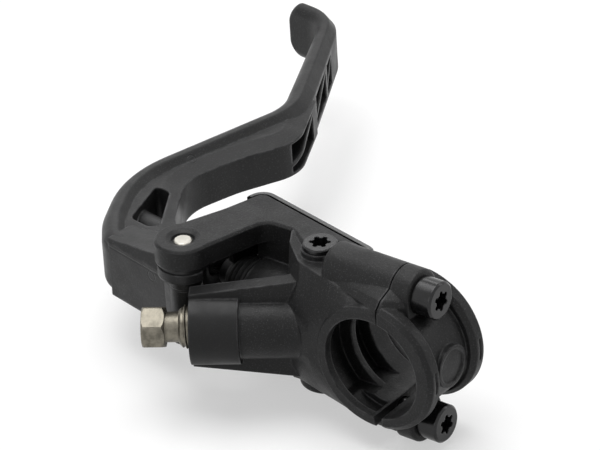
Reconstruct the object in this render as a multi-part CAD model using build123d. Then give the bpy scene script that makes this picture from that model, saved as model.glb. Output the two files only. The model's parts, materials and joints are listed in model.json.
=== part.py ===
from build123d import *

import os
from math import cos, radians, sin, tan

# Bicycle brake lever: hydraulic master lever for a flat handlebar, in millimetres.
# Origin at the centre of the handlebar bore. +X runs along the bar to the lever's tip,
# +Y forwards to the blade, and +Z up along the lever's pivot.

# Handlebar clamp
bar_d = 22.2
clamp_width = 19.0
band_width = 4.0
band_wall = 3.1
band_shift_y = -0.5
band_shift_z = 0.4
body_ring_wall = 2.5
band_chamfer = 1.0
saddle_wall = 1.6
split_y = -2.0
upper_gap = 0.3
lower_gap = 1.6
pocket_depth = 3.0
pocket_rim = 1.8
pocket_far_rim = 4.3
low_pocket_x = -3.6
low_pocket_depth = 1.6
low_pocket_y = 0.4
pocket_start_y = 1.5
pocket_z = 10.4
pocket_web_z = 4.0
pocket_web = 1.2
clamp_rib = 1.4
disc_d = 9.0
disc_step = 0.5
disc_rim = 0.8
disc_recess = 0.35
dash_length = 5.0
dash_width = 0.7
dash_depth = 0.4

# Clamp screws and their inserts
screw_d = 5.0
screw_head_d = 8.0
screw_head_h = 4.6
screw_z = 14.4
screw_boss_d = 10.4
ridge_end = 14.8
ridge_round = 1.0
flare_z = 14.0
flare_bevel = 1.6
flare_end = 13.0
lower_boss_d = 9.4
lower_boss_end = 7.4
screw_seat_y = -6.5
screw_play = 0.15
insert_d = 6.4
insert_length = 5.5
insert_y = 1.0
drive_d = 4.4
drive_depth = 2.2

# Upper plate with its pivot ear, lower plate, and lower ear beside the hose boss
plate_top = 16.0
plate_t = 4.7
plate_bevel = 0.5
ear_d = 11.8
pivot_x = -9.6
pivot_y = 45.7
pin_d = 3.8
pin_recess = 0.5
pin_bore_d = 4.8
pin_bore = 1.0
ear_dish_d = 7.0
ear_dish = 0.5
lower_ear_d = 7.8
lower_ear_top = -4.1
lower_ear_t = 3.2
apron_low = 3.7
apron_t = 1.6
apron_inset = 0.5

# Outboard side of the housing, closed by the reservoir cover
cover_line_x = 6.5
cover_line_y = 11.4
cover_corner_x = 13.3
cover_corner_y = 42.7
cover_t = 1.6
cover_gap = 0.2
cover_lip = 2.6
cover_bevel = 0.5
cover_drop = 0.2
cover_screw_d = 2.5
cover_screw_head_d = 4.4
cover_screw_head_h = 1.2
cover_screw_length = 5.0
cover_screw_z = 13.4
cover_screw_inset = 4.0
reservoir_depth = 5.0
reservoir_z = 10.0
reservoir_end = 7.0
diaphragm_t = 0.9
diaphragm_rim = 1.6

# Neck between clamp and cylinder
neck_z = 12.6
neck_x = -9.2
neck_flat_z = 1.5
neck_root_x = -6.7
neck_root_y = 22.3
neck_root_z = 6.0
neck_side_y = 6.5
column_x = -4.9
# Upper half of the neck at places along Y, from its flat side up to its top: place, then x and z pairs
neck_places = (
    (-1.0, ((-9.6, 8.0), (-9.6, 11.5), (-9.0, 12.8))),
    (6.5, ((-9.6, 8.0), (-9.1, 11.6), (-6.4, 13.7))),
    (15.5, ((-9.0, 4.5), (-7.0, 10.5), (-4.9, 14.7))),
    (22.0, ((neck_root_x, neck_root_z), (-5.3, 11.0), (-2.9, 14.5))),
    (29.5, ((neck_root_x, neck_root_z), (-5.0, 12.0), (-2.5, 15.9))),
)
# Two more points of the slanted face that ends the neck above the hose root
neck_end_points = ((-5.5, 20.3, 11.2), (-2.9, 21.7, 14.5))

# Master cylinder
cylinder_tilt = 9.0
mouth_x = 3.9
mouth_y = 37.2
cylinder_d = 14.2
bore_d = 10.0
bore_depth = 21.0
cylinder_end = 3.0
mouth_round = 1.7
running_gap = 0.04
ring_t = 0.8
ring_depth = 1.6
ring_groove = 0.6
ring_open_d = 7.0
wiper_t = 1.1
piston_length = 9.0
piston_cup_d = 4.6
piston_cup_depth = 3.2
seal_w = 1.4
seal_depth = 1.0
seal_inset = 1.2
spring_wire = 0.9
spring_d = 7.6
spring_turns = 6.0

# Hose boss and its nut
hose_x = -15.8
hose_y = 39.9
hose_angle = 33.4
hose_boss_d = 15.4
hose_root_d = 13.2
hose_boss_length = 10.0
hose_root_length = 28.0
port_d = 8.0
port_depth = 13.0
hose_d = 5.0
hose_depth = 17.0
ledge_length = 22.0
ledge_width = 3.4
ledge_z = 8.4
ledge_rise = 2.8
nut_thread_in = 7.5
nut_thread_out = 2.4
nut_neck_d = 6.2
nut_neck = 2.8
nut_hex = 8.0
nut_hex_h = 4.7
nut_bevel = 0.5
olive_length = 4.5

# Bleed screws
bleed_x = 2.2
bleed_y = 20.0
bleed_boss_d = 7.9
bleed_boss_top = 15.9
bleed_foot_d = 11.4
bleed_head_d = 7.2
bleed_head_h = 1.1
bleed_head_room = 0.35
bleed_d = 5.0
bleed_length = 7.0
bleed_seal_wire = 1.0
bleed_bore_d = 2.0

# Lever
pull_angle = 20.0
tip_x = 94.3
tip_y = 95.8
blade_height = 13.4
blade_t = 5.55
tip_t = 3.9
blade_round = 3.0
blade_flat = 0.64
blade_back = 9.0
taper_start_x = 66.0
web_height = 10.4
web_back = 8.1
web_slope = 4.0
rail_overlap = 1.8
lug_d = 11.2
lug_bottom = 8.1
lug_reach = 3.7
lug_top = 10.2
barrel_d = 6.8
barrel_bottom = -3.0
hub_gap = 0.4
bush_d = 5.4
bush_length = 5.0
bush_flange_d = 10.6
bush_foot_d = 6.6
bush_flange_t = 0.9
pin_play = 0.04
hub_start_y = 49.4
riser_top_y = 52.6
riser_low_y = 67.0
panel_x = 2.0
panel_y = 62.3
panel_z = 6.4
panel_rise = 0.131
panel_turn = 38.7
riser_bevel_z = 6.2
riser_bevel_angle = 42.0
truss_border = 0.55
truss_rib = 0.9
truss_rib_start = 1.6
truss_rib_end = -3.0
truss_depth = 3.4
truss_pockets = ((-0.5, 14.0), (20.7, 32.7), (34.3, 39.6))

# Reach screw and pushrod
reach_d = 5.0
reach_sleeve_d = 7.0
reach_neck_d = 2.4
ball_d = 3.4
ball_play = 0.3
reach_sleeve_start = 21.0
reach_head = 41.0
ball_neck = 4.6
hex_drive = 2.5
pushrod_d = 3.4
socket_d = 5.8
socket_cover = 1.2
push_gap = 0.3

# Front outline of the lever, from the hub to the tip: corner x, y and radius
front_corners = (
    (-10.9, hub_start_y, 0.0),
    (-6.2, 70.6, 7.0),
    (0.5, 76.0, 20.0),
    (17.0, 84.0, 28.0),
    (57.9, 72.6, 12.0),
    (tip_x - 1.0, tip_y - 7.2, 8.0),
    (tip_x, tip_y, 0.0),
)
# Where the blade starts to taper, on its front line
taper_start_y = front_corners[4][1] + (front_corners[5][1] - front_corners[4][1]) * (
    taper_start_x - front_corners[4][0]) / (front_corners[5][0] - front_corners[4][0])
# Bar side of the lever's web, from the hub to where the blade takes over
back_corners = (
    (-2.5, hub_start_y, 0.0),
    (10.2, 64.4, 12.0),
    (24.0, 72.6, 12.0),
    (36.5, 68.7, 30.0),
    (49.9, 61.9, 10.0),
    (taper_start_x, taper_start_y - 6.8, 0.0),
)
# Window of the lever that the reach screw's sleeve crosses
window_corners = (
    (4.6, 71.5, 2.0),
    (17.4, 75.0, 1.0),
    (17.8, 71.6, 1.2),
    (3.3, 63.3, 1.8),
)
# Inner edge of the upper plate, from the ear past the cylinder to the neck
plate_inner = (
    (4.5, 35.4, 3.4),
    (4.7, 28.8, 2.0),
    (0.2, 21.6, 1.0),
    (-1.7, 12.0, 1.0),
)
plate_front_bend = (4.0, 45.7, 20.0)
corner_round = 2.2

# Worked-out values
bar_r = bar_d / 2
band_r = bar_r + band_wall
body_ring_r = bar_r + body_ring_wall
saddle_r = bar_r + saddle_wall
half_width = clamp_width / 2
plate_bottom = plate_top - plate_t
lower_ear_bottom = lower_ear_top - lower_ear_t
tilt = radians(cylinder_tilt)
axis = Vector(sin(tilt), cos(tilt), 0)
pivot = Vector(pivot_x, pivot_y, 0)
mouth = Vector(mouth_x, mouth_y, 0)
arm_foot = (pivot - mouth).dot(axis)
arm = abs((pivot - mouth).dot(Vector(axis.Y, -axis.X, 0)))
ball_rest = arm_foot + arm * tan(radians(pull_angle / 2))
thread_start = ball_rest + ball_neck
ring_inner = ring_depth + ring_t
bore_bottom = -bore_depth
piston_front = -ring_inner
piston_back = piston_front - piston_length
cup_bottom = piston_front - piston_cup_depth
hose_axis = Vector(-sin(radians(hose_angle)), cos(radians(hose_angle)), 0)
hose_end = Vector(hose_x, hose_y, 0)
cover_dir = Vector(cover_corner_x - cover_line_x, cover_corner_y - cover_line_y, 0)
cover_length = cover_dir.length
cover_dir = cover_dir.normalized()
cover_out = Vector(cover_dir.Y, -cover_dir.X, 0)
cover_z = plate_top - cover_drop
blade_half = blade_height / 2
sides = (("upper", 1), ("lower", -1))

cylinder_plane = Plane(origin=mouth, x_dir=(0, 0, 1), z_dir=axis)
hose_plane = Plane(origin=hose_end, x_dir=(0, 0, 1), z_dir=hose_axis)
cover_plane = Plane(origin=(cover_line_x, cover_line_y, 0), x_dir=cover_dir, z_dir=cover_out)
bar_plane = Plane(origin=(0, 0, 0), x_dir=(0, 1, 0), z_dir=(1, 0, 0))


def post(radius, low, high):
    """A cylinder along Z between two heights."""
    return Pos(0, 0, low) * Cylinder(radius, high - low, align=(Align.CENTER, Align.CENTER, Align.MIN))


def pivot_post(radius, low, high):
    """A cylinder on the lever's pivot."""
    return Pos(pivot_x, pivot_y) * post(radius, low, high)


def bar_rod(radius, y_low, y_high, z=0.0):
    """A cylinder along Y, from y_low to y_high."""
    return Plane(origin=(0, 0, z), x_dir=(1, 0, 0), z_dir=(0, 1, 0)) * post(radius, y_low, y_high)


def corner_face(corners):
    """Face in XY whose corners (x, y, radius) are joined by lines and tangent arcs."""
    points = [(x, y) for x, y, _ in corners]
    return make_face(FilletPolyline(*points, radius=[r for _, _, r in corners], close=True))


def corner_path(corners):
    """Open path in XY through corners (x, y, radius)."""
    points = [(x, y) for x, y, _ in corners]
    return FilletPolyline(*points, radius=[r for _, _, r in corners[1:-1]])


def slab(face, low, high):
    """A face in XY raised from one height to another."""
    return Pos(0, 0, low) * extrude(face, high - low)


def mirrored(shape):
    """The shape and its mirror image under the middle plane."""
    return shape + mirror(shape, about=Plane.XY)


def shifted(corners, distance):
    """An open chain of corners moved sideways, to the right of its direction."""
    points = [Vector(x, y) for x, y, _ in corners]
    runs = [(b - a).normalized() for a, b in zip(points, points[1:])]
    rights = [Vector(run.Y, -run.X) for run in runs]
    moved = [points[0] + rights[0] * distance]
    radii = [0.0]
    for i in range(1, len(points) - 1):
        turn = runs[i - 1].cross(runs[i]).Z
        half = (rights[i - 1] + rights[i]).normalized()
        moved.append(points[i] + half * (distance / half.dot(rights[i])))
        radii.append(corners[i][2] + (distance if turn > 0 else -distance))
    moved.append(points[-1] + rights[-1] * distance)
    radii.append(0.0)
    return tuple((p.X, p.Y, r) for p, r in zip(moved, radii))


def lobed_drive(depth):
    """Cutter for a six-lobe drive, standing on Z = 0 and going down."""
    lobe_r = drive_d * 0.12
    reach = drive_d / 2 - lobe_r
    star = Circle(drive_d * 0.36) + PolarLocations(reach, 6) * Circle(lobe_r)
    return Pos(0, 0, -depth) * extrude(star, depth)


def clamp_room(direction, upper_edge, lower_edge):
    """Space on one side of the clamp's split, with its own edge above and below the bar."""
    reach = 8 * band_r
    room = None
    for edge, side in ((upper_edge, 1), (lower_edge, -1)):
        block = Pos(0, edge + direction * reach / 2, side * reach / 2) * Box(reach, reach, reach)
        room = block if room is None else room + block
    return room


def clamp_ring(outer_r, low_x, high_x, bevel=0.0):
    """A round disc on the bar's axis, with bevelled rims."""
    ring = post(outer_r, low_x, high_x)
    if bevel:
        ring = chamfer(ring.edges().filter_by(GeomType.CIRCLE), bevel)
    return bar_plane * ring


def upper_plate_outline():
    """Boomerang outline of the upper plate with its ear."""
    ear_r = ear_d / 2
    corners = (
        (pivot_x + ear_r * 0.1, pivot_y + ear_r * 0.96, 0.0),
        plate_front_bend,
        (cover_corner_x, cover_corner_y, corner_round),
        (cover_line_x, cover_line_y, 1.0),
    ) + plate_inner[::-1] + ((pivot_x - ear_r * 0.3, pivot_y - ear_r * 0.92, 0.0),)
    return corner_face(corners) + Pos(pivot_x, pivot_y) * Circle(ear_r)


def lower_plate_outline():
    """Outline of the lower plate, which carries the cover only."""
    return corner_face((
        (plate_inner[1][0], mouth_y - 2.0, 2.0),
        (cover_corner_x - 3.0, cover_corner_y + 0.8, 1.0),
        (cover_corner_x, cover_corner_y, corner_round),
        (cover_line_x, cover_line_y, 1.0),
    ) + plate_inner[:0:-1])


def apron():
    """Wall under the front edge of the upper plate, above the push rod."""
    left = Vector(plate_front_bend[0], plate_front_bend[1], 0)
    right = Vector(cover_corner_x, cover_corner_y, 0)
    run = (right - left).normalized()
    inward = Vector(run.Y, -run.X, 0)
    right = right - run * corner_round
    corners = (left + inward * apron_inset, right + inward * apron_inset,
               right + inward * (apron_inset + apron_t), left + inward * (apron_inset + apron_t))
    return slab(corner_face([(p.X, p.Y, 0.0) for p in corners]), apron_low, plate_bottom + apron_t)


def block_outline():
    """Outline of the block behind the reservoir cover."""
    return corner_face((
        (plate_inner[0][0], mouth_y + 1.0, 0.5),
        (cover_corner_x - 3.0, mouth_y + 1.0, 1.0),
        (cover_corner_x - 3.0, cover_corner_y + 0.8, 0.5),
        (cover_corner_x, cover_corner_y, corner_round),
        (cover_line_x, cover_line_y, 1.0),
        (column_x + 2.0, cover_line_y + 0.6, 0.5),
        (column_x + 2.0, bleed_y, 1.0),
        (plate_inner[1][0], plate_inner[1][1], 1.0),
    ))


def neck_outline():
    """Outline of the neck between clamp and cylinder."""
    side_x = half_width - (half_width + neck_x) * 2
    return corner_face((
        (neck_x, split_y + band_width, 0.0),
        (neck_x, neck_root_y - lower_boss_d * 0.55, 1.5),
        (neck_root_x, neck_root_y, 1.0),
        (plate_inner[1][0] + plate_bevel, plate_inner[1][1] + plate_bevel, 1.0),
        (cover_line_x + plate_bevel, bleed_y - cover_lip, 1.0),
        (cover_line_x - plate_bevel, cover_line_y, 0.5),
        (side_x, neck_side_y, 2.0),
        (side_x, split_y + band_width, 0.0),
    ))


def neck_section():
    """Room of the neck along Y: full at the clamp, hollowed towards the hose root."""
    far = 2 * half_width
    faces = []
    for y, points in neck_places:
        low_points = [(x, -z) for x, z in points]
        top = points[-1][1]
        side = Spline(*points) + Line(points[-1], (far, top)) + Line((far, top), (far, low_points[-1][1]))
        side += Line((far, low_points[-1][1]), low_points[-1]) + Spline(*low_points[::-1])
        side += Polyline(low_points[0], (-half_width, -neck_flat_z), (-half_width, neck_flat_z), points[0])
        plane = Plane(origin=(0, y, 0), x_dir=(1, 0, 0), z_dir=(0, -1, 0))
        faces.append(plane * make_face(side))
    first, second, third = (Vector(*p) for p in ((neck_root_x, neck_root_y, neck_root_z),) + neck_end_points)
    slant = (second - first).cross(third - first)
    beyond = Plane(origin=first, z_dir=slant) * Pos(0, 0, far) * Box(4 * far, 4 * far, 2 * far)
    return loft(faces, ruled=True) - beyond


def ridge_flare(end_y):
    """Flank from the rim of the clamp at its split up to the upper screw boss, ending at end_y."""
    rise = screw_boss_d * 0.42
    foot = screw_boss_d * 0.45
    base = flare_z - 2 * rise
    at_split = ((-half_width, base), (-half_width, flare_z), (flare_bevel - half_width, flare_z + flare_bevel),
                (0, flare_z + rise), (0, base))
    at_end = ((-foot, base), (-foot, flare_z), (-foot * 0.9, flare_z + 0.5 * flare_bevel),
              (0, flare_z + rise), (0, base))
    faces = []
    for points, y in ((at_split, split_y), (at_end, end_y)):
        plane = Plane(origin=(0, y, 0), x_dir=(1, 0, 0), z_dir=(0, -1, 0))
        faces.append(plane * make_face(Polyline(*points, close=True)))
    return loft(faces, ruled=True)


def ledge():
    """Flat-topped web along the hose boss, rising from its free end to the neck, on both sides."""
    high = ledge_z + ledge_rise
    side = Polyline((0, 0), (0, ledge_z), (-ledge_length, high), (-ledge_length, 0), close=True)
    profile = Plane(origin=hose_end, x_dir=hose_axis, z_dir=(hose_axis.Y, -hose_axis.X, 0))
    strip = extrude(profile * make_face(side), ledge_width / 2, both=True)
    return mirrored(strip)


def lower_ear():
    """Ear under the lever's barrel, carried by the hose boss and the cylinder."""
    arm_face = corner_face((
        (pivot_x - lower_ear_d * 0.42, pivot_y - 1.5, 0.0),
        (hose_x + hose_boss_d * 0.39, hose_y - hose_boss_d * 0.26, 0.0),
        (mouth_x - cylinder_d * 0.28, mouth_y - cylinder_d * 0.56, 0.0),
        (mouth_x - cylinder_d * 0.07, mouth_y - cylinder_d * 0.21, 1.0),
        (pivot_x + lower_ear_d * 0.42, pivot_y + 1.5, 0.0),
    ))
    ear = pivot_post(lower_ear_d / 2, lower_ear_bottom, lower_ear_top)
    return ear + slab(arm_face, lower_ear_bottom, lower_ear_top)


def build_master_body():
    room = clamp_room(1, split_y + upper_gap / 2, split_y + upper_gap / 2 + lower_gap)
    half_ring = clamp_ring(body_ring_r, -half_width, half_width, band_chamfer * 0.6) & room
    boss_r = screw_boss_d / 2
    ridge = bar_rod(boss_r, split_y, ridge_end, z=screw_z)
    ridge = fillet(ridge.edges().filter_by(GeomType.CIRCLE).sort_by(Axis.Y)[-1], ridge_round)
    lower_boss = bar_rod(lower_boss_d / 2, split_y, lower_boss_end, z=-screw_z)
    lower_boss = fillet(lower_boss.edges().filter_by(GeomType.CIRCLE).sort_by(Axis.Y)[-1], 1.6)

    plate = slab(upper_plate_outline(), plate_bottom, plate_top)
    plate = chamfer(plate.faces().sort_by(Axis.Z)[-1].edges(), plate_bevel)
    low_plate = slab(lower_plate_outline(), -plate_top, -plate_bottom)
    low_plate = chamfer(low_plate.faces().sort_by(Axis.Z)[0].edges(), plate_bevel)
    bleed_boss = Pos(bleed_x, bleed_y) * post(bleed_boss_d / 2, neck_z - plate_t, bleed_boss_top)
    bleed_foot = post(bleed_foot_d / 2, -bleed_boss_top, plate_t - neck_z)
    bleed_foot = Pos(bleed_x, bleed_y) * fillet(bleed_foot.edges().sort_by(Axis.Z)[0], ridge_round)
    block = slab(block_outline(), -plate_bottom, plate_bottom)
    neck = slab(neck_outline(), -neck_z, plate_top) & neck_section()
    cylinder = cylinder_plane * post(cylinder_d / 2, bore_bottom - cylinder_end, 0)
    cylinder = fillet(cylinder.edges().sort_by_distance(mouth)[0], mouth_round)
    cylinder -= cover_plane * Pos(cover_length / 2, 0, cylinder_d) * Box(
        3 * cover_length, 2 * cylinder_d, 2 * cylinder_d)
    boss = hose_plane * post(hose_boss_d / 2, -hose_boss_length, 0)
    root = hose_plane * post(hose_root_d / 2, -hose_root_length, -hose_boss_length)

    body = neck + block + cylinder + plate + low_plate + bleed_boss + bleed_foot
    body += boss + root + ledge() + lower_ear() + apron()
    body += half_ring + ((ridge + ridge_flare(flare_end)) & room) + (lower_boss & room)

    # handlebar bore, and the pockets between the clamp's bands and middle rib
    body -= clamp_ring(bar_r, -clamp_width, clamp_width)
    spread = Pos(0, pocket_start_y + band_r, 0) * Box(clamp_width, 2 * band_r, 2 * pocket_z)
    inner, outer = clamp_rib / 2, half_width - pocket_far_rim
    web = Pos(outer / 2, band_r, pocket_web_z) * Box(outer, 2 * band_r, pocket_web)
    for low, high in ((inner, outer), (pocket_rim - half_width, -inner)):
        body -= (clamp_ring(bar_r + pocket_depth, low, high) & spread) - web
    low_room = Pos(0, low_pocket_y + band_r, -band_r) * Box(clamp_width, 2 * band_r, 2 * band_r)
    body -= clamp_ring(bar_r + low_pocket_depth, pocket_rim - half_width, low_pocket_x) & low_room

    # clamp screws and inserts
    for _, side in sides:
        body -= bar_rod(insert_d / 2, insert_y, insert_y + insert_length, z=side * screw_z)
        hole_r = screw_d / 2 + screw_play
        body -= bar_rod(hole_r, split_y - 1.0, insert_y + insert_length + 0.6, z=side * screw_z)

    # pivot: pin holes, the dish round the upper one, and room for the lever's hub between the ears
    dish = Pos(pivot_x, pivot_y, plate_top - ear_dish) * Cone(
        pin_d / 2 + 0.4, ear_dish_d / 2, ear_dish, align=(Align.CENTER, Align.CENTER, Align.MIN))
    body -= dish
    body -= pivot_post(pin_d / 2, lower_ear_bottom, plate_top)
    body -= pivot_post(pin_bore_d / 2, plate_top - pin_bore, plate_top)
    body -= pivot_post(barrel_d / 2 + hub_gap, lower_ear_top, plate_bottom)
    body -= pivot_post(lug_d / 2 + hub_gap, lug_bottom - hub_gap, plate_bottom)

    # cylinder bore, ring groove and hose port
    body -= cylinder_plane * post(bore_d / 2, bore_bottom, 4.0)
    body -= cylinder_plane * post(bore_d / 2 + ring_groove, -ring_inner, -ring_depth)
    body -= hose_plane * post(port_d / 2, -port_depth, 1.0)
    body -= hose_plane * post(hose_d / 2, -hose_depth, 0)
    passage = mouth + axis * (bore_bottom + 2.0)
    deep = hose_end - hose_axis * (hose_depth - 1.0)
    run = passage - deep
    body -= Plane(origin=deep, z_dir=run) * post(bleed_bore_d / 2, 0, run.length)

    # bleed screws
    for _, side in sides:
        seat = Plane(origin=(bleed_x, bleed_y, side * bleed_boss_top), z_dir=(0, 0, side))
        body -= seat * post(bleed_head_d / 2 + bleed_head_room, 0, 2 * plate_t)
        body -= seat * post(bleed_d / 2, -bleed_length, 0)
        body -= seat * post(bleed_d / 2 + bleed_seal_wire, -bleed_seal_wire, 0)
        body -= seat * post(bleed_bore_d / 2, -bleed_boss_top, 0)

    # reservoir, open to the outboard side, shaped round the cylinder
    chamber_length = cover_length - 2 * reservoir_end
    chamber = Pos(cover_length / 2, 0, -reservoir_depth / 2) * Box(
        chamber_length, 2 * reservoir_z, reservoir_depth)
    wall = cylinder_plane * post(bore_d / 2 + 1.1, bore_bottom - 2.0, 0)
    body -= (cover_plane * chamber) - wall
    seat_length = chamber_length + 2 * diaphragm_rim
    seat = Pos(cover_length / 2, 0, -diaphragm_t / 2) * Box(
        seat_length, 2 * (reservoir_z + diaphragm_rim), diaphragm_t)
    body -= cover_plane * seat
    for place in cover_screw_places():
        body -= cover_plane * place * post(cover_screw_d / 2, -cover_screw_length, 1.0)
    return body


def cover_screw_places():
    ends = (cover_screw_inset, cover_length - cover_screw_inset)
    return [Pos(u, side * cover_screw_z, 0) for u in ends for side in (1, -1)]


def build_reservoir_cover():
    outer = offset(corner_face((
        (cover_corner_x - cover_lip, cover_corner_y + 0.7, 0.0),
        (cover_corner_x, cover_corner_y, corner_round),
        (cover_line_x, cover_line_y, 0.5),
        (cover_line_x - 2.0, cover_line_y + 2.0, 0.0),
    )), cover_t)
    shell = slab(outer, -cover_z, cover_z)
    rims = shell.faces().sort_by(Axis.Z)
    shell = chamfer(rims[0].edges() + rims[-1].edges(), cover_bevel)
    height = 2 * plate_top
    for outline in (upper_plate_outline(), lower_plate_outline(), block_outline(), neck_outline()):
        shell -= slab(offset(outline, cover_gap), -height, height)
    behind = Pos(cover_length / 2, 0, -cover_length) * Box(3 * cover_length, 2 * height, 2 * cover_length)
    middle = cover_length / 2
    lip_room = Pos(cover_corner_x - cover_lip + middle, cover_corner_y - 0.6 * cover_t + middle, 0) * Box(
        cover_length, cover_length, 2 * height)
    shell -= (cover_plane * behind) - lip_room
    shell -= clamp_ring(body_ring_r + cover_gap, -clamp_width, half_width + cover_gap)
    for place in cover_screw_places():
        shell -= cover_plane * place * post(cover_screw_d / 2 + screw_play, -1, cover_t + 1)
        sink = post(cover_screw_head_d / 2, cover_t - cover_screw_head_h, cover_t + 1)
        shell -= cover_plane * place * sink
    return max(shell.solids(), key=lambda s: s.volume)


def build_diaphragm():
    length = cover_length - 2 * reservoir_end + 2 * diaphragm_rim
    sheet = Box(length, 2 * (reservoir_z + diaphragm_rim), diaphragm_t)
    return cover_plane * Pos(cover_length / 2, 0, -diaphragm_t / 2) * sheet


def build_cover_screw(place):
    base = cover_t - cover_screw_head_h
    screw = post(cover_screw_head_d / 2, base, base + cover_screw_head_h)
    screw = fillet(screw.edges().sort_by(Axis.Z)[-1], 0.4)
    screw += post(cover_screw_d / 2, -cover_screw_length, base)
    socket = RegularPolygon(cover_screw_d * 0.36, 6)
    screw -= Pos(0, 0, base + cover_screw_head_h - 0.8) * extrude(socket, 1.0)
    return cover_plane * place * screw


def mirrored_dashes():
    """Short slots in the outer face of both bands."""
    slot = Box(dash_width, 2 * dash_depth, dash_length)
    slot = fillet(slot.edges().filter_by(Axis.Y), dash_width * 0.45)
    centre = half_width - band_width / 2
    slot = Pos(centre, -band_r, 0) * slot
    return slot + mirror(slot, about=Plane.YZ)


def build_clamp_cap():
    edge = split_y - upper_gap / 2
    bands = Pos(0, band_shift_y, band_shift_z) * (
        clamp_ring(band_r, -half_width, band_width - half_width, band_chamfer)
        + clamp_ring(band_r, half_width - band_width, half_width, band_chamfer)
        - mirrored_dashes())
    saddle = clamp_ring(saddle_r, -half_width + 1.0, half_width - 1.0)
    boss = bar_rod(screw_boss_d / 2, screw_seat_y, edge, z=screw_z)
    boss = fillet(boss.edges().filter_by(GeomType.CIRCLE).sort_by(Axis.Y)[0], 0.8)
    cap = (bands + saddle + ridge_flare(screw_seat_y)) & clamp_room(-1, edge, edge)
    cap += mirrored(boss)
    cap += bar_rod(disc_d / 2, -saddle_r - disc_step, -bar_r)
    cap -= bar_rod(disc_d / 2 - disc_rim, -2 * saddle_r, -saddle_r - disc_step + disc_recess)
    cap -= clamp_ring(bar_r, -clamp_width, clamp_width)
    for _, side in sides:
        cap -= bar_rod(screw_d / 2 + screw_play, -2 * band_r, 0, z=side * screw_z)
        cap -= bar_rod(screw_head_d / 2 + 0.3, -2 * band_r, screw_seat_y, z=side * screw_z)
    return cap


def build_clamp_screw(side):
    end_y = insert_y + insert_length + 0.4
    head_y = screw_seat_y - screw_head_h
    head = bar_rod(screw_head_d / 2, head_y, screw_seat_y, z=side * screw_z)
    head = chamfer(head.edges().filter_by(GeomType.CIRCLE).sort_by(Axis.Y)[0], 0.4)
    shank = bar_rod(screw_d / 2, screw_seat_y, end_y, z=side * screw_z)
    drive = Plane(origin=(0, head_y, side * screw_z), z_dir=(0, -1, 0)) * lobed_drive(drive_depth)
    return head + shank - drive


def build_clamp_insert(side):
    sleeve = bar_rod(insert_d / 2, insert_y, insert_y + insert_length, z=side * screw_z)
    return sleeve - bar_rod(screw_d / 2, 0, 2 * insert_length, z=side * screw_z)


def build_bleed_screw(side):
    head = post(bleed_head_d / 2, 0, bleed_head_h)
    head = chamfer(head.edges().sort_by(Axis.Z)[-1], 0.3)
    screw = head + post(bleed_d / 2, -bleed_length, 0)
    screw -= Pos(0, 0, bleed_head_h) * lobed_drive(drive_depth)
    return Plane(origin=(bleed_x, bleed_y, side * bleed_boss_top), z_dir=(0, 0, side)) * screw


def build_bleed_seal(side):
    wire_r = bleed_seal_wire / 2
    ring = Pos(0, 0, -wire_r) * Torus(bleed_d / 2 + wire_r, wire_r)
    return Plane(origin=(bleed_x, bleed_y, side * bleed_boss_top), z_dir=(0, 0, side)) * ring


def build_hose_nut():
    neck_end = nut_thread_out + nut_neck
    nut = post(port_d / 2, -nut_thread_in, nut_thread_out)
    nut = chamfer(nut.edges().filter_by(GeomType.CIRCLE), nut_bevel)
    nut += post(nut_neck_d / 2, nut_thread_out, neck_end)
    hexagon = extrude(RegularPolygon(nut_hex / 2, 6, major_radius=False), nut_hex_h)
    dome = post(nut_hex / 2 * 1.13, 0, nut_hex_h)
    dome = chamfer(dome.edges().filter_by(GeomType.CIRCLE), nut_bevel)
    nut += Pos(0, 0, neck_end) * (hexagon & dome)
    nut -= post(hose_d / 2, -nut_thread_in - 1, neck_end + nut_hex_h + 1)
    return hose_plane * nut


def build_olive():
    ring = post(port_d / 2 - 0.3, -nut_thread_in - olive_length, -nut_thread_in)
    ring = chamfer(ring.edges().filter_by(GeomType.CIRCLE), 0.8)
    ring -= post(hose_d / 2, -4 * olive_length, 0)
    return hose_plane * ring


def build_pivot_pin():
    pin = pivot_post(pin_d / 2, lower_ear_bottom + 0.3, plate_top - pin_recess)
    return chamfer(pin.edges().filter_by(GeomType.CIRCLE), 0.25)


def build_pivot_bush(side):
    if side > 0:
        bush = pivot_post(bush_d / 2, lug_top - bush_length, lug_top)
        bush += pivot_post(bush_flange_d / 2, lug_top, lug_top + bush_flange_t)
    else:
        bush = pivot_post(bush_d / 2, barrel_bottom, barrel_bottom + bush_length)
        bush += pivot_post(bush_foot_d / 2, barrel_bottom - bush_flange_t, barrel_bottom)
    return bush - pivot_post(pin_d / 2 + pin_play, -plate_top, plate_top)


def blade_section(thickness):
    """Section of the blade: round finger side at x = 0, tapered bar side."""
    half = blade_half
    back = blade_back / 2
    upper = ((0.0, half, blade_round * thickness / blade_t), (blade_flat * thickness, half, 0.6),
             (thickness, back, 0.4))
    lower = tuple((x, -y, r) for x, y, r in upper[::-1])
    return corner_face(upper + lower)


def path_plane(path, where):
    """Plane across a path, with x to the right of its direction."""
    along = path % where
    return Plane(origin=path @ where, x_dir=(along.Y, -along.X, 0), z_dir=along)


def build_blade():
    """The rounded outer part of the lever, swept from the hub along the finger side to the tip."""
    middle = (taper_start_x, taper_start_y, 0.0)
    inner = corner_path(front_corners[:5] + (middle,))
    outer = corner_path((middle,) + front_corners[5:])
    blade = sweep(path_plane(inner, 0) * blade_section(blade_t), path=inner)
    sections = [path_plane(outer, 0) * blade_section(blade_t), path_plane(outer, 1) * blade_section(tip_t)]
    blade += sweep(sections, path=outer, multisection=True)
    last = path_plane(outer, 1)
    centred = Pos(-tip_t / 2, 0) * blade_section(tip_t)
    tip_steps = ((0.0, 1.0), (1.2, 0.94), (2.1, 0.78), (2.6, 0.52))
    rings = [last * Pos(tip_t / 2, 0, rise) * scale(centred, by=size) for rise, size in tip_steps]
    return blade + loft(rings)


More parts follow.
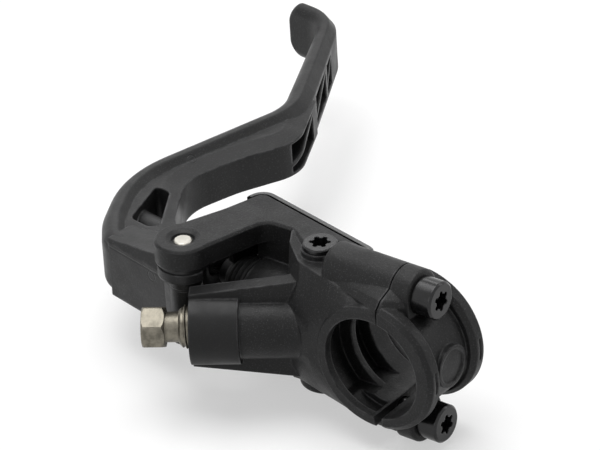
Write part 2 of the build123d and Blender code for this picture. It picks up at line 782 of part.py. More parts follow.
def build_web():
    """The flat inner part of the lever behind the blade, sloped down to its bar side."""
    front = shifted(front_corners[:5] + ((taper_start_x, taper_start_y, 0.0),), rail_overlap)[::-1]
    full = corner_face(back_corners + front)
    raised = corner_face(shifted(back_corners, -web_slope) + front)
    low, high = web_back / 2, web_height / 2
    slope = loft([Pos(0, 0, low) * full, Pos(0, 0, high) * raised], ruled=True)
    return slab(full, -low, low) + mirrored(slope)


def build_hub():
    """The arm at the pivot: barrel, upper lug, and the riser with its panel."""
    wall_x, wall_end_x = front_corners[0][0], front_corners[1][0]
    plan = corner_face((
        (wall_x, hub_start_y, 0.0),
        (wall_end_x - 0.4, front_corners[1][1] - 1.8, 1.0),
        (window_corners[0][0] - 3.2, riser_low_y + 2.0, 1.0),
        (window_corners[3][0] - 1.6, window_corners[3][1] - 2.0, 1.0),
        (back_corners[0][0], hub_start_y, 0.0),
    ))
    above_panel = Pos(0, 0, blade_height) * Box(8 * blade_height, 8 * blade_height, 2 * blade_height)
    beyond_lug = Pos(0, riser_top_y + 4 * blade_height, 0) * Box(
        8 * blade_height, 8 * blade_height, 8 * blade_height)
    turn = radians(panel_turn)
    upright = Vector(panel_rise * cos(turn), panel_rise * sin(turn), 1)
    panel = Plane(origin=(panel_x, panel_y, panel_z), z_dir=upright)
    riser = slab(plan, 0, lug_top) - ((panel * above_panel) & beyond_lug)
    run = Vector(wall_end_x - wall_x, front_corners[1][1] - hub_start_y, 0).normalized()
    lean = radians(riser_bevel_angle)
    slope = Vector(-run.Y * sin(lean), run.X * sin(lean), cos(lean))
    above = Plane(origin=(wall_x, hub_start_y, riser_bevel_z), x_dir=run, z_dir=slope)
    riser -= above * above_panel
    reach = barrel_d / 2
    bridge = corner_face((
        (pivot_x - reach * 0.98, pivot_y + reach * 0.2, 0.0),
        (wall_x, hub_start_y + 1.0, 0.0),
        (back_corners[0][0] - 1.5, hub_start_y + 1.0, 0.0),
        (pivot_x + reach * 0.98, pivot_y + reach * 0.2, 0.0),
    ))
    hub = riser + slab(plan, -blade_half + 0.2, 0)
    hub += slab(bridge, barrel_bottom, lug_top)
    hub += pivot_post(reach, barrel_bottom, lug_top)
    lug = pivot_post(lug_d / 2, lug_bottom, lug_top)
    side = Plane(origin=pivot, x_dir=(0, 0, 1), z_dir=(0.6, -0.8, 0))
    lug -= side * Pos(0, 0, lug_reach + lug_d) * Box(4 * lug_d, 4 * lug_d, 2 * lug_d)
    return hub + lug


def truss_cutter():
    """Pockets in the bar side of the blade, each split by a slanting rib."""
    bend, end = back_corners[4], back_corners[5]
    run = Vector(end[0] - bend[0], end[1] - bend[1], 0).normalized()
    face = Plane(origin=(bend[0], bend[1], 0), x_dir=run, z_dir=(-run.Y, run.X, 0))
    top = web_back / 2 - truss_border
    half = truss_rib / 2
    cutter = None
    for start, stop in truss_pockets:
        rib_high, rib_low = truss_rib_start, truss_rib_end
        upper = ((start, rib_high + half), (start, top), (stop, top), (stop, rib_low + half))
        lower = ((start, rib_high - half), (start, -top), (stop, -top), (stop, rib_low - half))
        for corners in (upper, lower):
            loop = Polyline(*corners, close=True)
            pocket = face * extrude(make_face(loop), truss_depth)
            cutter = pocket if cutter is None else cutter + pocket
    return cutter


def build_lever_blade():
    lever = build_blade() + build_web() + build_hub()
    lever -= slab(corner_face(window_corners), -blade_half - 1, blade_half + 1)
    lever += cylinder_plane * post(reach_sleeve_d / 2, reach_sleeve_start, reach_head)
    lever -= cylinder_plane * post(reach_d / 2, reach_sleeve_start - 1, reach_head + reach_sleeve_d)
    lever -= pivot_post(lower_ear_d / 2 + hub_gap, -plate_top, barrel_bottom)
    lever -= pivot_post(bush_d / 2, barrel_bottom, lug_top)
    lever -= truss_cutter()
    return lever


def build_reach_screw():
    screw = Pos(0, 0, ball_rest) * Sphere(ball_d / 2)
    screw += post(reach_neck_d / 2, ball_rest, thread_start + 0.5)
    shank = post(reach_d / 2, thread_start, reach_head)
    screw += chamfer(shank.edges().filter_by(GeomType.CIRCLE), 0.5)
    socket = extrude(RegularPolygon(hex_drive / 2, 6, major_radius=False), 3.0)
    screw -= Pos(0, 0, reach_head - 2.5) * socket
    return cylinder_plane * screw


def build_pushrod():
    tip_r = pushrod_d / 2
    tip = cup_bottom + push_gap + tip_r
    rod = post(tip_r, tip, ball_rest) + Pos(0, 0, tip) * Sphere(tip_r)
    cup_low = ball_rest - ball_d / 2 - ball_play - socket_cover
    cup_high = ball_rest + ball_d * 0.2
    rod += chamfer(post(socket_d / 2, cup_low, cup_high).edges().sort_by(Axis.Z)[0], 0.8)
    rod -= Pos(0, 0, ball_rest) * Sphere(ball_d / 2 + ball_play)
    rod -= post(ball_d / 2 + ball_play, ball_rest, ball_rest + ball_d)
    return cylinder_plane * rod


def build_piston():
    piston_r = bore_d / 2 - running_gap
    piston = post(piston_r, piston_back, piston_front)
    piston = chamfer(piston.edges().filter_by(GeomType.CIRCLE), 0.3)
    for low in seal_grooves():
        piston -= post(piston_r + 1, low, low + seal_w) - post(piston_r - seal_depth, low, low + seal_w)
    cup_r = piston_cup_d / 2
    piston -= post(cup_r, cup_bottom + cup_r, 1) + Pos(0, 0, cup_bottom + cup_r) * Sphere(cup_r)
    return cylinder_plane * piston


def seal_grooves():
    """Lower edge of the groove for the primary seal, and for the secondary seal."""
    return (piston_back + seal_inset, piston_front - seal_inset - seal_w)


def build_seal(low):
    piston_r = bore_d / 2 - running_gap
    ring = post(piston_r, low, low + seal_w) - post(piston_r - seal_depth, low, low + seal_w)
    return cylinder_plane * ring


def build_spring():
    coil_r = (spring_d - spring_wire) / 2
    low = bore_bottom + spring_wire / 2
    high = piston_back - spring_wire / 2
    helix = Helix(pitch=(high - low) / spring_turns, height=high - low, radius=coil_r)
    wire = Plane(origin=helix @ 0, z_dir=helix % 0) * Circle(spring_wire / 2)
    coil = Pos(0, 0, low) * sweep(wire, path=helix)
    return cylinder_plane * coil


def build_retaining_ring():
    ring = post(bore_d / 2 + ring_groove - 0.05, -ring_inner, -ring_depth)
    ring -= post(ring_open_d / 2, -ring_inner, 0)
    mouth_cut = Pos(0, bore_d / 2, -ring_depth) * Box(2.0, bore_d, 4 * ring_t)
    return cylinder_plane * (ring - mouth_cut)


def build_wiper_seal():
    ring = post(bore_d / 2, -ring_depth, wiper_t - ring_depth)
    ring -= post(pushrod_d / 2 + 0.9, -ring_depth - 1, wiper_t)
    return cylinder_plane * ring


def build_all():
    nodes = {
        "master_body": build_master_body(),
        "clamp_cap": build_clamp_cap(),
        "reservoir_cover": build_reservoir_cover(),
        "reservoir_diaphragm": build_diaphragm(),
        "hose_nut": build_hose_nut(),
        "compression_olive": build_olive(),
        "pivot_pin": build_pivot_pin(),
        "lever_blade": build_lever_blade(),
        "reach_screw": build_reach_screw(),
        "pushrod": build_pushrod(),
        "piston": build_piston(),
        "primary_seal": build_seal(seal_grooves()[0]),
        "secondary_seal": build_seal(seal_grooves()[1]),
        "return_spring": build_spring(),
        "retaining_ring": build_retaining_ring(),
        "wiper_seal": build_wiper_seal(),
    }
    for name, side in sides:
        nodes["clamp_screw_" + name] = build_clamp_screw(side)
        nodes["clamp_insert_" + name] = build_clamp_insert(side)
        nodes["bleed_screw_" + name] = build_bleed_screw(side)
        nodes["bleed_seal_" + name] = build_bleed_seal(side)
        nodes["pivot_bush_" + name] = build_pivot_bush(side)
    for number, place in enumerate(cover_screw_places(), start=1):
        nodes[f"cover_screw_{number}"] = build_cover_screw(place)
    return nodes


if __name__ == "__main__":
    os.makedirs("parts", exist_ok=True)
    for node, shape in build_all().items():
        export_step(shape, f"parts/{node}.step")
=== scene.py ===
import json
import math

import bmesh
import bpy
from mathutils import Matrix, Vector


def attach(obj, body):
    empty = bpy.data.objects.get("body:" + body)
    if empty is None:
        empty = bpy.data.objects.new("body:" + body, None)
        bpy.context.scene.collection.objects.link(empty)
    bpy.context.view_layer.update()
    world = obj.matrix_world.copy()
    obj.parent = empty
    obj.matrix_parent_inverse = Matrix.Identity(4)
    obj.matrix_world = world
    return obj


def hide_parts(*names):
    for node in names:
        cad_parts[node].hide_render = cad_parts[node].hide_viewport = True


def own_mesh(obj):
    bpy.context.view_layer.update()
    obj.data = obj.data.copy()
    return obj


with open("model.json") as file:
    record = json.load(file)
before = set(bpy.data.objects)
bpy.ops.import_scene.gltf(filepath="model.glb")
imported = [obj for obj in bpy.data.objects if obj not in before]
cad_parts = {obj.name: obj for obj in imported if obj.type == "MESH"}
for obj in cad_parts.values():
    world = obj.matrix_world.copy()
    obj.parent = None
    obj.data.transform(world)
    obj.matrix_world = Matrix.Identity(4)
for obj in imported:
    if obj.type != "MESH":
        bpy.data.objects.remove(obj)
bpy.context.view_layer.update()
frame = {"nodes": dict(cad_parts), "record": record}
scene = bpy.context.scene
scene.view_settings.view_transform = "Standard"

# Directions and places that repeat the part's own values, in metres
hose_axis = Vector((-0.550481, 0.834848, 0.0))
hose_end = Vector((-0.0158, 0.0399, 0.0))
cylinder_axis = Vector((0.156434, 0.987688, 0.0))
cylinder_side = Vector((cylinder_axis.y, -cylinder_axis.x, 0.0))
cylinder_mouth = Vector((0.0039, 0.0372, 0.0))
bar_centre = Vector((0.0, 0.0, 0.0))
bar_axis = Vector((1.0, 0.0, 0.0))
forward = Vector((0.0, 1.0, 0.0))
upward = Vector((0.0, 0.0, 1.0))


# Camera, fitted to the photograph
camera_data = bpy.data.cameras.new("camera")
camera_data.sensor_width = 36.0
camera_data.lens = 273.8
camera_data.clip_start = 0.05
camera = bpy.data.objects.new("camera", camera_data)
scene.collection.objects.link(camera)
place = Vector((-0.6085, -0.4651, 0.4848))
right = Vector((0.5995, -0.7986, -0.0540)).normalized()
back = Vector((-0.6705, -0.5379, 0.5110)).normalized()
up = back.cross(right).normalized()
right = up.cross(back).normalized()
camera.matrix_world = Matrix((
    (right.x, up.x, back.x, place.x),
    (right.y, up.y, back.y, place.y),
    (right.z, up.z, back.z, place.z),
    (0.0, 0.0, 0.0, 1.0),
))
scene.camera = camera


# Helpers for material nodes
BEVEL_SAMPLES = 6
MIX_FACTOR, MIX_A, MIX_B, MIX_COLOR = 0, 6, 7, 2  # places of the colour sockets on a Mix node


def shade(color, factor, lift=0.0):
    """The colour made darker or paler."""
    return tuple(min(1.0, c * factor + lift) for c in color)


def background_rays(nodes, links):
    """1 for the rays that show the background: from the camera, through glass or off a gloss."""
    rays = nodes.new("ShaderNodeLightPath").outputs
    seen = rays["Is Camera Ray"]
    for kind in ("Is Transmission Ray", "Is Glossy Ray"):
        either = nodes.new("ShaderNodeMath")
        either.operation = "MAXIMUM"
        links.new(seen, either.inputs[0])
        links.new(rays[kind], either.inputs[1])
        seen = either.outputs[0]
    return seen


class Tree:
    """A material and its nodes. Values are numbers, colours or sockets of other nodes."""

    def __init__(self, name):
        self.material = bpy.data.materials.new(name)
        self.material.use_nodes = True
        self.nodes = self.material.node_tree.nodes
        self.links = self.material.node_tree.links
        self.nodes.clear()
        self.output = self.nodes.new("ShaderNodeOutputMaterial")
        self.bsdf = self.nodes.new("ShaderNodeBsdfPrincipled")
        self.links.new(self.bsdf.outputs["BSDF"], self.output.inputs["Surface"])
        self.coord = self.nodes.new("ShaderNodeTexCoord").outputs["Object"]

    def join(self, source, socket):
        if isinstance(source, (int, float)):
            socket.default_value = source
        elif isinstance(source, tuple):
            opaque = socket.type == "RGBA" and len(source) == 3
            socket.default_value = source + (1.0,) if opaque else source
        else:
            self.links.new(source, socket)

    def math(self, kind, a, b=0.0, clamp=False):
        node = self.nodes.new("ShaderNodeMath")
        node.operation = kind
        node.use_clamp = clamp
        self.join(a, node.inputs[0])
        self.join(b, node.inputs[1])
        return node.outputs[0]

    def vector(self, kind, a, b):
        """A number from two vectors, such as their dot product or distance."""
        node = self.nodes.new("ShaderNodeVectorMath")
        node.operation = kind
        self.join(a, node.inputs[0])
        self.join(b, node.inputs[1])
        return node.outputs["Value"]

    def noise(self, scale, detail=2.0, rough=0.5):
        node = self.nodes.new("ShaderNodeTexNoise")
        node.inputs["Scale"].default_value = scale
        node.inputs["Detail"].default_value = detail
        node.inputs["Roughness"].default_value = rough
        self.join(self.coord, node.inputs["Vector"])
        return node.outputs["Fac"]

    def lines(self, axis, scale, detail):
        """Noise that changes along one axis only, like the marks of a lathe."""
        node = self.nodes.new("ShaderNodeTexNoise")
        node.noise_dimensions = "1D"
        node.inputs["Scale"].default_value = scale
        node.inputs["Detail"].default_value = detail
        self.join(self.vector("DOT_PRODUCT", self.coord, tuple(axis)), node.inputs["W"])
        return node.outputs["Fac"]

    def ramp(self, value, low, high, to_low=0.0, to_high=1.0):
        """Smooth step from to_low to to_high as the value goes from low to high."""
        node = self.nodes.new("ShaderNodeMapRange")
        node.interpolation_type = "SMOOTHSTEP"
        self.join(value, node.inputs["Value"])
        node.inputs["From Min"].default_value = low
        node.inputs["From Max"].default_value = high
        node.inputs["To Min"].default_value = to_low
        node.inputs["To Max"].default_value = to_high
        return node.outputs["Result"]

    def mix(self, factor, a, b):
        node = self.nodes.new("ShaderNodeMix")
        node.data_type = "RGBA"
        self.join(factor, node.inputs[MIX_FACTOR])
        self.join(a, node.inputs[MIX_A])
        self.join(b, node.inputs[MIX_B])
        return node.outputs[MIX_COLOR]

    def shell(self, centre, radius, width):
        """1 on a thin ring where the surface is at this distance from a point, 0 elsewhere."""
        core = 0.3 * width
        away = self.vector("DISTANCE", self.coord, centre)
        off = self.math("ABSOLUTE", self.math("SUBTRACT", away, radius))
        return self.ramp(off, core, width, 1.0, 0.0)

    def along(self, axis, origin):
        """Distance along an axis from a point, in metres."""
        total = self.vector("DOT_PRODUCT", self.coord, tuple(axis))
        return self.math("SUBTRACT", total, axis.dot(Vector(origin)))

    def bevel(self, radius):
        node = self.nodes.new("ShaderNodeBevel")
        node.samples = BEVEL_SAMPLES
        node.inputs["Radius"].default_value = radius
        return node.outputs["Normal"]

    def edges(self, radius):
        """1 on sharp edges, 0 on flat faces."""
        sharp, flat = 0.80, 0.985
        normal = self.nodes.new("ShaderNodeNewGeometry").outputs["Normal"]
        turn = self.vector("DOT_PRODUCT", self.bevel(radius), normal)
        return self.ramp(turn, sharp, flat, 1.0, 0.0)

    def rubbed(self, radius, patches, low, high):
        """1 on patches along the edges, where they are worn; moulded plastic also paints its edge
        highlight on them.
        """
        return self.math("MULTIPLY", self.edges(radius), self.ramp(patches, low, high), clamp=True)

    def sum_of(self, a, a_share, b, b_share):
        return self.math("ADD", self.math("MULTIPLY", a, a_share),
                         self.math("MULTIPLY", b, b_share))

    def bump(self, height, strength, distance, normal):
        node = self.nodes.new("ShaderNodeBump")
        node.inputs["Strength"].default_value = strength
        node.inputs["Distance"].default_value = distance
        self.join(height, node.inputs["Height"])
        self.links.new(normal, node.inputs["Normal"])
        return node.outputs["Normal"]

    def finish(self, color, rough, normal=None, metallic=0.0, **sockets):
        self.join(color, self.bsdf.inputs["Base Color"])
        self.join(rough, self.bsdf.inputs["Roughness"])
        self.join(metallic, self.bsdf.inputs["Metallic"])
        if normal is not None:
            self.links.new(normal, self.bsdf.inputs["Normal"])
        for name, value in sockets.items():
            self.bsdf.inputs[name.replace("_", " ")].default_value = value
        return self.material


def moulded(name, color, rough, grain, speck, bevel, pores=2400.0, marks=None, specular=0.3):
    """Fibre-filled moulded plastic: cloudy tone, fine grain, pale specks, and paler edges that are
    partly wear and partly painted highlight.
    marks takes the tree and gives the grain's share and the height of moulded marks."""
    dark, pale, fleck_paler, edge_paler = 0.82, 1.16, 8.0, 9.0
    fibre_fineness, edge_reach, edge_share, worn_polish = 1.7, 1.6, 0.75, 0.12
    bump_depth = 0.00012
    t = Tree(name)
    share, relief = marks(t) if marks else (1.0, None)
    cloud = t.ramp(t.noise(70.0, detail=4.0, rough=0.55), 0.32, 0.68)
    fine = t.noise(pores, detail=3.0, rough=0.6)
    fibre = t.ramp(t.noise(pores * fibre_fineness, detail=1.0, rough=0.4), 0.60, 0.70)
    edge_patches = t.rubbed(bevel * edge_reach, t.noise(420.0, detail=3.0), 0.34, 0.62)
    fleck = t.math("MULTIPLY", t.math("MULTIPLY", fibre, speck), share)
    tone = t.mix(cloud, shade(color, dark), shade(color, pale))
    tone = t.mix(fleck, tone, shade(color, fleck_paler))
    # Painted highlight: the edge patches are made much paler than the plastic, partly as wear and
    # partly as the highlight that edges catch
    tone = t.mix(t.math("MULTIPLY", edge_patches, edge_share), tone, shade(color, edge_paler))
    uneven = t.ramp(t.noise(240.0, detail=4.0), 0.3, 0.7, rough - 0.06, rough + 0.07)
    uneven = t.math("SUBTRACT", uneven, t.math("MULTIPLY", edge_patches, worn_polish))
    height = t.math("MULTIPLY", t.sum_of(fine, 0.8, t.noise(700.0, detail=3.0), 0.5), share)
    if relief is not None:
        height = t.math("ADD", height, relief)
    normal = t.bump(height, grain, bump_depth, t.bevel(bevel))
    return t.finish(tone, uneven, normal, Specular_IOR_Level=specular)


def housing_marks(t):
    """The sleeve round the hose nut is smoother than the rest of the housing."""
    sleeve_start, sleeve_end = -0.0103, -0.0099
    top_start, top_end = 0.0088, 0.0094
    lost_grain = 0.75
    sleeve = t.ramp(t.along(hose_axis, hose_end), sleeve_start, sleeve_end)
    low = t.ramp(t.along(upward, bar_centre), top_start, top_end, 1.0, 0.0)
    smooth = t.math("MULTIPLY", sleeve, low)
    return t.math("SUBTRACT", 1.0, t.math("MULTIPLY", smooth, lost_grain)), None


def lever_marks(t):
    """Round ejector marks on the lever and the joint line along its hub's wall."""
    ring_radius, ring_width, ring_height = 0.0011, 0.00022, -2.2
    ring_centres = ((0.0300, 0.0755, 0.0052), (0.0893, 0.0870, 0.0062),
                    (-0.0098, 0.0547, 0.0040))
    line_place, line_core, line_edge, line_height = (0.0, 0.0, 0.0052), 0.00012, 0.0003, -2.5
    wall_place, wall_fade = (-0.0058, 0.0, 0.0), 0.0006
    off_line = t.math("ABSOLUTE", t.along(upward, line_place))
    wall = t.ramp(t.along(bar_axis, wall_place), 0.0, wall_fade, 1.0, 0.0)
    relief = t.math("MULTIPLY", t.ramp(off_line, line_core, line_edge, line_height, 0.0), wall)
    for centre in ring_centres:
        ring = t.math("MULTIPLY", t.shell(centre, ring_radius, ring_width), ring_height)
        relief = t.math("ADD", relief, ring)
    return 1.0, relief


def machined(name, color, rough, axis, metallic=1.0, marks=0.25, bevel=0.0002,
             mottle=(0.86, 1.10)):
    """Turned metal: fine lines along an axis, cloudy tone and roughness, and rubbed edges."""
    edge_reach, edge_share, edge_paler, worn_lift = 2, 0.4, 1.9, 0.02
    bump_depth = 0.00004
    t = Tree(name)
    turned = t.lines(axis, 5200.0, detail=3.0)
    smear = t.noise(500.0, detail=4.0, rough=0.6)
    edge_patches = t.rubbed(bevel * edge_reach, t.noise(900.0, detail=2.0), 0.35, 0.65)
    dark, pale = (shade(color, factor) for factor in mottle)
    tone = t.mix(t.ramp(smear, 0.3, 0.7), dark, pale)
    tone = t.mix(t.math("MULTIPLY", edge_patches, edge_share), tone, shade(color, edge_paler, worn_lift))
    uneven = t.ramp(t.sum_of(smear, 0.7, turned, 0.3), 0.3, 0.7, rough - 0.07, rough + 0.08)
    height = t.sum_of(turned, 0.7, t.noise(3000.0), 0.3)
    return t.finish(tone, uneven, t.bump(height, marks, bump_depth, t.bevel(bevel)), metallic)


def soft_rubber(name, color):
    """Dull rubber with a little dust."""
    dust_share, dust_paler = 0.4, 2.0
    grain, bump_depth, bevel = 0.3, 0.00006, 0.0002
    t = Tree(name)
    dust = t.ramp(t.noise(300.0, detail=5.0), 0.45, 0.75)
    tone = t.mix(t.math("MULTIPLY", dust, dust_share), color, shade(color, dust_paler))
    rough = t.ramp(t.noise(600.0, detail=3.0), 0.3, 0.7, 0.62, 0.80)
    height = t.noise(2500.0, detail=3.0)
    return t.finish(tone, rough, t.bump(height, grain, bump_depth, t.bevel(bevel)))


def glossy(name, color):
    """Black gloss plastic of the cover, with faint polishing marks and dust."""
    dark, pale, edge_paler, edge_share = 0.8, 1.3, 3.0, 0.3
    dust_dullness = 0.12
    worn_radius, grain, bump_depth, bevel = 0.0005, 0.06, 0.00006, 0.0003
    t = Tree(name)
    haze = t.noise(260.0, detail=5.0, rough=0.65)
    dust = t.ramp(t.noise(1900.0, detail=2.0), 0.66, 0.78)
    edge_patches = t.rubbed(worn_radius, t.noise(500.0, detail=3.0), 0.4, 0.65)
    tone = t.mix(t.ramp(haze, 0.3, 0.7), shade(color, dark), shade(color, pale))
    tone = t.mix(t.math("MULTIPLY", edge_patches, edge_share), tone, shade(color, edge_paler))
    rough = t.math("ADD", t.ramp(haze, 0.3, 0.7, 0.17, 0.27),
                   t.math("MULTIPLY", dust, dust_dullness))
    normal = t.bump(t.noise(900.0, detail=3.0), grain, bump_depth, t.bevel(bevel))
    return t.finish(tone, rough, normal, Coat_Weight=0.25, Coat_Roughness=0.12)


materials = {
    "housing_plastic": moulded("housing_plastic", (0.009, 0.009, 0.0092), rough=0.43, grain=0.70,
                               speck=0.40, bevel=0.0005, marks=housing_marks, specular=0.20),
    "lever_plastic": moulded("lever_plastic", (0.012, 0.012, 0.0123), rough=0.40, grain=0.40,
                             speck=0.20, bevel=0.0006, pores=1900.0, marks=lever_marks,
                             specular=0.24),
    "cover_plastic": glossy("cover_plastic", (0.008, 0.008, 0.0084)),
    "bush_plastic": moulded("bush_plastic", (0.010, 0.010, 0.0103), rough=0.34, grain=0.10,
                            speck=0.0, bevel=0.0002),
    "black_steel": machined("black_steel", (0.012, 0.012, 0.0125), rough=0.20, axis=forward,
                            metallic=0.4, marks=0.2, bevel=0.0003),
    "plated_nut": machined("plated_nut", (0.172, 0.159, 0.130), rough=0.44, axis=hose_axis,
                           marks=0.60, mottle=(0.60, 1.30)),
    "bright_steel": machined("bright_steel", (0.44, 0.425, 0.385), rough=0.36, axis=upward,
                             marks=0.15),
    "brass": machined("brass", (0.70, 0.54, 0.26), rough=0.3, axis=forward),
    "piston_alloy": machined("piston_alloy", (0.55, 0.55, 0.57), rough=0.34, axis=cylinder_axis),
    "rubber": soft_rubber("rubber", (0.006, 0.006, 0.006)),
}
# Painted shade: the pieces in the dark space under the upper plate get a near-black, almost
# glossless material, darker than their own steel, so that they render as shadow
painted_shade_steel = moulded("painted_shade_steel", (0.004, 0.004, 0.0041), rough=0.55, grain=0.30, speck=0.0,
                     bevel=0.0002, specular=0.06)
painted_shade_nodes = ("pushrod", "reach_screw")
slot_of = {s["node"]: s["material_slot"] for s in frame["record"]["subparts"]}
for node, obj in frame["nodes"].items():
    obj.data.materials.clear()
    obj.data.materials.append(painted_shade_steel if node in painted_shade_nodes else materials[slot_of[node]])


# Helpers for meshes
def skin(name, rows, closed=False):
    """Tube through rows of points, with end faces unless its last row joins the first."""
    mesh = bpy.data.meshes.new(name)
    bm = bmesh.new()
    rings = [[bm.verts.new(point) for point in row] for row in rows]
    pairs = list(zip(rings, rings[1:]))
    if closed:
        pairs.append((rings[-1], rings[0]))
    else:
        bm.faces.new(rings[0])
        bm.faces.new(rings[-1][::-1])
    for first, second in pairs:
        for a in range(len(first)):
            b = (a + 1) % len(first)
            bm.faces.new((first[a], first[b], second[b], second[a]))
    bmesh.ops.recalc_face_normals(bm, faces=bm.faces)
    bm.to_mesh(mesh)
    bm.free()
    mesh.polygons.foreach_set("use_smooth", [True] * len(mesh.polygons))
    obj = bpy.data.objects.new(name, mesh)
    scene.collection.objects.link(obj)
    return obj


def lathe(name, loop, angles, where, shape, closed=True):
    """Closed loop of (share, place along the axis), swept round an axis through the angles.
    where is (origin, axis, side, third), and shape gives the radius and the place along it."""
    origin, axis, side, third = where
    rows = []
    for angle in angles:
        out = side * math.cos(angle) + third * math.sin(angle)
        places = [shape(share, along, angle) for share, along in loop]
        rows.append([origin + axis * along + out * radius for radius, along in places])
    return skin(name, rows, closed)


def rounded_loop(points, steps):
    """Closed smooth curve through the points."""
    loop = []
    count = len(points)
    for i in range(count):
        a, b, c, d = (Vector(points[(i + k) % count]) for k in (-1, 0, 1, 2))
        for j in range(steps):
            t = j / steps
            loop.append(tuple(0.5 * ((2 * b) + (c - a) * t
                                     + (2 * a - 5 * b + 4 * c - d) * t ** 2
                                     + (3 * b - a - 3 * c + d) * t ** 3)))
    return loop


def angles_between(first, last, count):
    """Angles in radians, from the first to the last in degrees."""
    return [math.radians(first + (last - first) * i / count) for i in range(count + 1)]


def full_turn(count):
    return angles_between(0, 360, count)[:-1]


round_cylinder = (cylinder_mouth, cylinder_axis, cylinder_side, upward)
round_bar = (bar_centre, bar_axis, forward, upward)


# Thread of the hose nut, where it stands out of its boss
def make_nut_thread():
    start, pitch, thread_turns, steps = 0.00042, 0.00078, 1.75, 56
    root, flank, crest = 0.00390, 0.00428, 0.00446
    profile = ((root, -0.00034), (flank, -0.00016), (crest, -0.00004),
               (crest, 0.00004), (flank, 0.00016), (root, 0.00034))
    run_out, least_height = 6.0, 0.03
    side = hose_axis.cross(upward)
    count = int(thread_turns * steps)
    rows = []
    for i in range(count + 1):
        turn = 2.0 * math.pi * i / steps
        fade = min(1.0, run_out * i / count, run_out * (count - i) / count)
        fade = max(least_height, fade)
        out = upward * math.cos(turn) + side * math.sin(turn)
        rows.append([hose_end + hose_axis * (start + pitch * i / steps + offset)
                     + out * (root + (radius - root) * fade) for radius, offset in profile])
    obj = skin("nut_thread", rows)
    obj.data.materials.append(materials["plated_nut"])
    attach(obj, "housing")


make_nut_thread()


# Rubber bellows between the cylinder's mouth and the push rod's socket
def make_bellows():
    mm_per_m = 1000
    folds = (  # radius and place along the cylinder's axis, in mm
        (5.30, 0.00), (6.20, 0.00), (6.50, 0.35), (6.25, 0.80), (5.40, 1.20), (5.25, 1.45),
        (5.90, 1.85), (6.00, 2.15), (5.75, 2.50), (4.95, 2.85), (4.80, 3.10), (5.30, 3.45),
        (5.40, 3.75), (5.15, 4.05), (4.50, 4.35), (4.40, 4.60), (4.75, 4.90), (4.80, 5.20),
        (4.50, 5.50), (3.75, 5.75), (3.55, 6.05), (3.55, 7.00), (3.35, 7.20), (3.15, 7.05),
        (3.15, 6.00), (3.40, 5.45), (4.15, 5.20), (4.20, 5.05), (3.95, 4.60), (4.10, 4.15),
        (4.75, 3.85), (4.80, 3.70), (4.35, 3.10), (4.55, 2.65), (5.35, 2.25), (5.40, 2.10),
        (4.80, 1.45), (5.00, 1.00), (5.80, 0.60), (5.35, 0.35))
    loop = [(r / mm_per_m, a / mm_per_m) for r, a in rounded_loop(folds, steps=3)]
    obj = lathe("pushrod_bellows", loop, full_turn(72), round_cylinder,
                lambda radius, along, angle: (radius, along))
    obj.data.materials.append(materials["rubber"])
    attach(obj, "housing")
    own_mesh(obj)


make_bellows()


# Block in the lever's hub that guides the reach screw, with a hood over the screw's neck
def make_reach_guide():
    hole, neck = 0.00262, 0.0018
    low, high = 0.0130, 0.0210
    near, far, above, below, squareness = 0.0029, 0.0042, 0.0032, 0.0064, 7

    def outside(angle):
        c, s = math.cos(angle), math.sin(angle)
        wide = near if c > 0 else far
        tall = above if s > 0 else below
        return (abs(c / wide) ** squareness + abs(s / tall) ** squareness) ** (-1 / squareness)

    def block(share, along, angle):
        return hole + share * (outside(angle) - hole), along

    def hood(share, along, angle):
        return neck + share * (outside(angle) - neck), along

    loop = ((0.0, low), (0.55, low), (0.88, low + 0.0001), (1.0, low + 0.0005),
            (1.0, high), (0.0, high))
    lid = ((0.0, 0.0108), (0.6, 0.0107), (1.0, 0.0112), (1.0, low + 0.0006), (0.0, low + 0.0006))
    pieces = [
        lathe("reach_guide", loop, full_turn(64), round_cylinder, block),
        lathe("reach_guide_hood", lid, angles_between(28, 152, 40), round_cylinder, hood,
              closed=False),
    ]
    # Painted shade: the near-black material makes the block and its hood render as shadow
    for obj in pieces:
        obj.data.materials.append(painted_shade_steel)
        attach(obj, "lever")


make_reach_guide()


# Return spring, as a coil of wire in place of the part's own spring
def make_return_spring():
    bottom, top, stroke = -0.0210, -0.0114, 0.00517
    wire, coil = 0.00045, 0.00335
    coils, steps, sides = 6, 40, 12
    length = top - bottom
    rise = (length - 2 * wire) / (coils * steps)
    around = [2.0 * math.pi * k / sides for k in range(sides)]
    rows = []
    for i in range(coils * steps + 1):
        turn = 2.0 * math.pi * i / steps
        out = cylinder_side * math.cos(turn) + upward * math.sin(turn)
        centre = cylinder_mouth + cylinder_axis * (bottom + wire + rise * i) + out * coil
        rows.append([centre + (out * math.cos(a) + cylinder_axis * math.sin(a)) * wire
                     for a in around])
    obj = skin("return_spring_coil", rows)
    obj.data.materials.append(materials["bright_steel"])
    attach(obj, "housing")
    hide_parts("return_spring")
    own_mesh(obj)


make_return_spring()


# Low swelling of the clamp's outboard rim, towards the cover
def make_rim_swelling():
    face, sink, rise = 0.0095, 0.0001, 0.0019
    inner, outer = 0.01112, 0.0126
    first, last, inset = -98.0, -4.0, 0.5
    fullness = 0.7

    def swell(share, along, angle):
        middle = math.sin(math.pi * (math.degrees(angle) - first) / (last - first))
        return inner + share * (outer - inner), face + along * rise * middle ** fullness - sink

    loop = ((0.0, -0.15), (0.0, 0.80), (0.12, 0.96), (0.30, 1.0), (0.60, 0.88), (0.85, 0.50),
            (1.0, 0.0), (1.0, -0.15))
    obj = lathe("clamp_rim_swelling", loop, angles_between(first + inset, last - inset, 48),
                round_bar, swell, closed=False)
    obj.data.materials.append(materials["housing_plastic"])
    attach(obj, "housing")


make_rim_swelling()


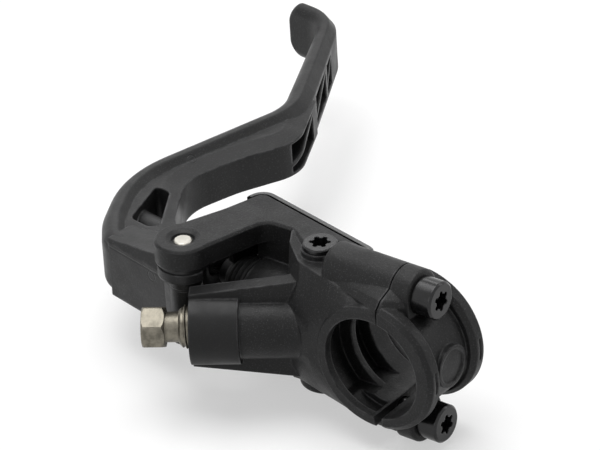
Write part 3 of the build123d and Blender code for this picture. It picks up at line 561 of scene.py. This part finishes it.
# Floor, just under the part's lowest point. It is white to rays that show the background
# and greyer to the others, and it keeps the part's shadow.
def make_floor():
    z, half = -0.01975, 4.0
    pale, paler, lighting_tone = (0.96,) * 3, (0.98,) * 3, (0.60,) * 3
    glow_share, rough = 0.48, 0.7
    mesh = bpy.data.meshes.new("floor")
    corners = [(-half, -half, z), (half, -half, z), (half, half, z), (-half, half, z)]
    mesh.from_pydata(corners, [], [(0, 1, 2, 3)])
    floor = bpy.data.objects.new("floor", mesh)
    scene.collection.objects.link(floor)

    t = Tree("floor_white")
    seen = background_rays(t.nodes, t.links)
    tone = t.mix(t.ramp(t.noise(9.0), 0.3, 0.7), pale, paler)
    tone = t.mix(seen, lighting_tone, tone)
    floor.data.materials.append(t.finish(tone, rough, Specular_IOR_Level=0.0))
    glow = t.nodes.new("ShaderNodeEmission")
    blend = t.nodes.new("ShaderNodeMixShader")
    t.join(t.math("MULTIPLY", seen, glow_share), blend.inputs["Fac"])
    t.links.new(t.bsdf.outputs["BSDF"], blend.inputs[1])
    t.links.new(glow.outputs["Emission"], blend.inputs[2])
    t.links.new(blend.outputs["Shader"], t.output.inputs["Surface"])


make_floor()


# Lamps, all turned to the part
def lamp(name, place, size, power):
    target = Vector((0.02, 0.04, 0.0))
    data = bpy.data.lights.new(name, "AREA")
    data.shape = "RECTANGLE"
    data.size, data.size_y = size
    data.energy = power
    obj = bpy.data.objects.new(name, data)
    obj.location = place
    obj.rotation_euler = (target - Vector(place)).to_track_quat("-Z", "Y").to_euler()
    scene.collection.objects.link(obj)


lamp("key", (0.0, 0.16, 1.0), size=(0.8, 0.8), power=9.5)
lamp("side", (-0.95, 0.15, 0.45), size=(0.5, 0.5), power=1.6)
lamp("rim", (0.75, -0.55, 0.45), size=(0.2, 0.7), power=1.0)
lamp("back", (0.62, 0.55, 0.62), size=(0.7, 0.16), power=1.0)


# Background, white where it is seen and a weaker fill light elsewhere
def make_world():
    seen_strength, fill_strength = 1.0, 0.28
    world = bpy.data.worlds.new("studio")
    scene.world = world
    world.use_nodes = True
    nodes, links = world.node_tree.nodes, world.node_tree.links
    nodes.clear()
    output = nodes.new("ShaderNodeOutputWorld")
    choose = nodes.new("ShaderNodeMixShader")
    links.new(background_rays(nodes, links), choose.inputs["Fac"])
    for strength, socket in zip((fill_strength, seen_strength), choose.inputs[1:]):
        light = nodes.new("ShaderNodeBackground")
        light.inputs["Color"].default_value = (1, 1, 1, 1)
        light.inputs["Strength"].default_value = strength
        links.new(light.outputs[0], socket)
    links.new(choose.outputs[0], output.inputs["Surface"])


make_world()
